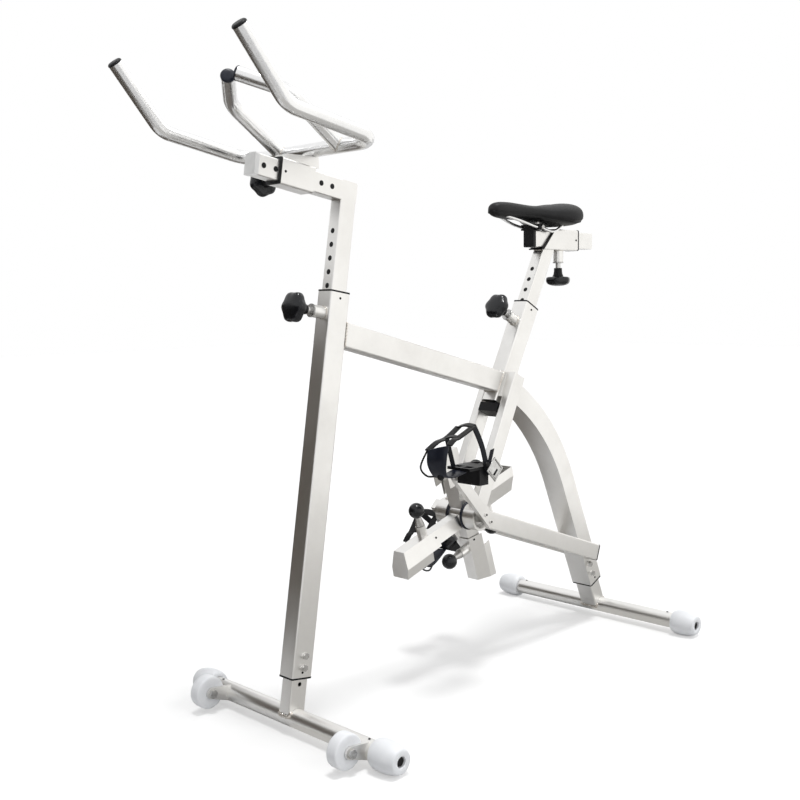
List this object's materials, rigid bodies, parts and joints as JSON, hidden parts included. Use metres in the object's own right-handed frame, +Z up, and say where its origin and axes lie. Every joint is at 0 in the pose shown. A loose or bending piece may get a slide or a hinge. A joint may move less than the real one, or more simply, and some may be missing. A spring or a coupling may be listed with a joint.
{
  "type": "pool exercise bike",
  "caption": "Underwater exercise bike: tube frame on two feet, sliding handlebar and saddle posts, pedals with toe cages, and a paddle wheel whose blades slide out for more resistance.",
  "frame": {"origin": "on the floor under the middle of the whole bike's box", "axes": "+X to the rider's left, +Y from the front foot to the back foot, +Z up"},
  "size_m": [0.604, 1.2998, 1.2805],
  "materials": {
    "steel": "fine satin",
    "polished_tube": "polished",
    "black_plastic": "semi-matte",
    "pale_plastic": "semi-matte",
    "saddle_cover": "matte grained cover"
  },
  "bodies": {
    "frame": {"front_base_tube": "steel", "rear_base_tube": "steel", "front_foot_left": "pale_plastic", "front_foot_right": "pale_plastic", "rear_foot_left": "pale_plastic", "rear_foot_right": "pale_plastic", "wheel_bolt_left": "polished_tube", "wheel_bolt_right": "polished_tube", "front_leg": "steel", "post_sleeve": "steel", "post_lining_upper": "black_plastic", "post_lining_lower": "black_plastic", "main_beam": "steel", "seat_sleeve": "steel", "seat_lining": "black_plastic", "arch_tube": "steel", "arch_lining": "black_plastic", "rear_leg": "steel", "hanger_left": "steel", "hanger_right": "steel", "lower_arm_left": "steel", "lower_arm_right": "steel", "cross_block": "black_plastic"},
    "wheel_left": {"transport_wheel_left": "pale_plastic"},
    "wheel_right": {"transport_wheel_right": "pale_plastic"},
    "stem": {"stem_post": "steel", "stem_cap": "pale_plastic"},
    "bars": {"stem_sleeve": "steel", "stem_lining": "black_plastic", "handlebar": "polished_tube", "horn_cap_left": "black_plastic", "horn_cap_right": "black_plastic", "arm_cap_left": "black_plastic", "arm_cap_right": "black_plastic"},
    "seat_column": {"seat_post": "steel", "slider_lining_back": "black_plastic", "slider_lining_front": "black_plastic"},
    "seat": {"slider_tube": "steel", "saddle_clamp": "black_plastic", "saddle_rails": "polished_tube", "saddle": "saddle_cover"},
    "post_knob": {"post_pin": "black_plastic"},
    "stem_knob": {"stem_pin": "black_plastic"},
    "seat_knob": {"seat_pin": "black_plastic"},
    "slider_knob": {"slider_pin": "black_plastic"},
    "cranks": {"crank_axle": "steel", "crank_left": "steel", "crank_right": "steel"},
    "pedal_left": {"pedal_left": "black_plastic", "toe_cage_left": "black_plastic"},
    "pedal_right": {"pedal_right": "black_plastic", "toe_cage_right": "black_plastic"},
    "paddle_1": {"blade_1": "steel"},
    "paddle_knob_1": {"blade_pin_1": "black_plastic"},
    "paddle_2": {"blade_2": "steel"},
    "paddle_knob_2": {"blade_pin_2": "black_plastic"},
    "paddle_3": {"blade_3": "steel"},
    "paddle_knob_3": {"blade_pin_3": "black_plastic"},
    "paddle_4": {"blade_4": "steel"},
    "paddle_knob_4": {"blade_pin_4": "black_plastic"}
  },
  "joints": [
    {"name": "handlebar_height", "type": "slide", "parent": "frame", "child": "stem", "axis": [0, 0.1599, 0.9871], "range_m": [-0.162, 0.054]},
    {"name": "handlebar_reach", "type": "slide", "parent": "stem", "child": "bars", "axis": [0, -0.9871, 0.1599], "range_m": [-0.056, 0.028]},
    {"name": "saddle_height", "type": "slide", "parent": "frame", "child": "seat_column", "axis": [0, 0.4695, 0.8829], "range_m": [-0.112, 0.056]},
    {"name": "saddle_reach", "type": "slide", "parent": "seat_column", "child": "seat", "axis": [0, 1, 0], "range_m": [-0.04, 0.04]},
    {"name": "post_pin_pull", "type": "slide", "parent": "frame", "child": "post_knob", "axis": [0, -0.9871, 0.1599], "range_m": [0, 0.008], "stiffness_N_per_m": 1200},
    {"name": "stem_pin_pull", "type": "slide", "parent": "bars", "child": "stem_knob", "axis": [-1, 0, 0], "range_m": [0, 0.008], "stiffness_N_per_m": 1200},
    {"name": "seat_pin_pull", "type": "slide", "parent": "frame", "child": "seat_knob", "axis": [0, -0.8829, 0.4695], "range_m": [0, 0.008], "stiffness_N_per_m": 1200},
    {"name": "slider_pin_pull", "type": "slide", "parent": "seat_column", "child": "slider_knob", "axis": [0, 0, -1], "range_m": [0, 0.008], "stiffness_N_per_m": 1200},
    {"name": "crank_turn", "type": "hinge", "parent": "frame", "child": "cranks", "pos_m": [0, 0.09729, 0.35], "axis": [1, 0, 0], "continuous": true},
    {"name": "pedal_left_turn", "type": "hinge", "parent": "cranks", "child": "pedal_left", "pos_m": [0.115, -0.00142, 0.45622], "axis": [1, 0, 0], "continuous": true},
    {"name": "pedal_right_turn", "type": "hinge", "parent": "cranks", "child": "pedal_right", "pos_m": [-0.115, 0.19599, 0.24378], "axis": [1, 0, 0], "continuous": true},
    {"name": "paddle_1_reach", "type": "slide", "parent": "cranks", "child": "paddle_1", "axis": [0, -0.9537, -0.3007], "range_m": [-0.053, 0.007]},
    {"name": "paddle_1_pin_pull", "type": "slide", "parent": "paddle_1", "child": "paddle_knob_1", "axis": [0, -0.3007, 0.9537], "range_m": [0, 0.006], "stiffness_N_per_m": 1200},
    {"name": "paddle_2_reach", "type": "slide", "parent": "cranks", "child": "paddle_2", "axis": [0, -0.3007, 0.9537], "range_m": [0, 0.06]},
    {"name": "paddle_2_pin_pull", "type": "slide", "parent": "paddle_2", "child": "paddle_knob_2", "axis": [0, 0.9537, 0.3007], "range_m": [0, 0.006], "stiffness_N_per_m": 1200},
    {"name": "paddle_3_reach", "type": "slide", "parent": "cranks", "child": "paddle_3", "axis": [0, 0.9537, 0.3007], "range_m": [0, 0.06]},
    {"name": "paddle_3_pin_pull", "type": "slide", "parent": "paddle_3", "child": "paddle_knob_3", "axis": [0, 0.3007, -0.9537], "range_m": [0, 0.006], "stiffness_N_per_m": 1200},
    {"name": "paddle_4_reach", "type": "slide", "parent": "cranks", "child": "paddle_4", "axis": [0, 0.3007, -0.9537], "range_m": [0, 0.06]},
    {"name": "paddle_4_pin_pull", "type": "slide", "parent": "paddle_4", "child": "paddle_knob_4", "axis": [0, -0.9537, -0.3007], "range_m": [0, 0.006], "stiffness_N_per_m": 1200},
    {"name": "wheel_left_turn", "type": "hinge", "parent": "frame", "child": "wheel_left", "pos_m": [0.2113, -0.46921, 0.041], "axis": [1, 0, 0], "continuous": true},
    {"name": "wheel_right_turn", "type": "hinge", "parent": "frame", "child": "wheel_right", "pos_m": [-0.2039, -0.46921, 0.041], "axis": [1, 0, 0], "continuous": true}
  ]
}
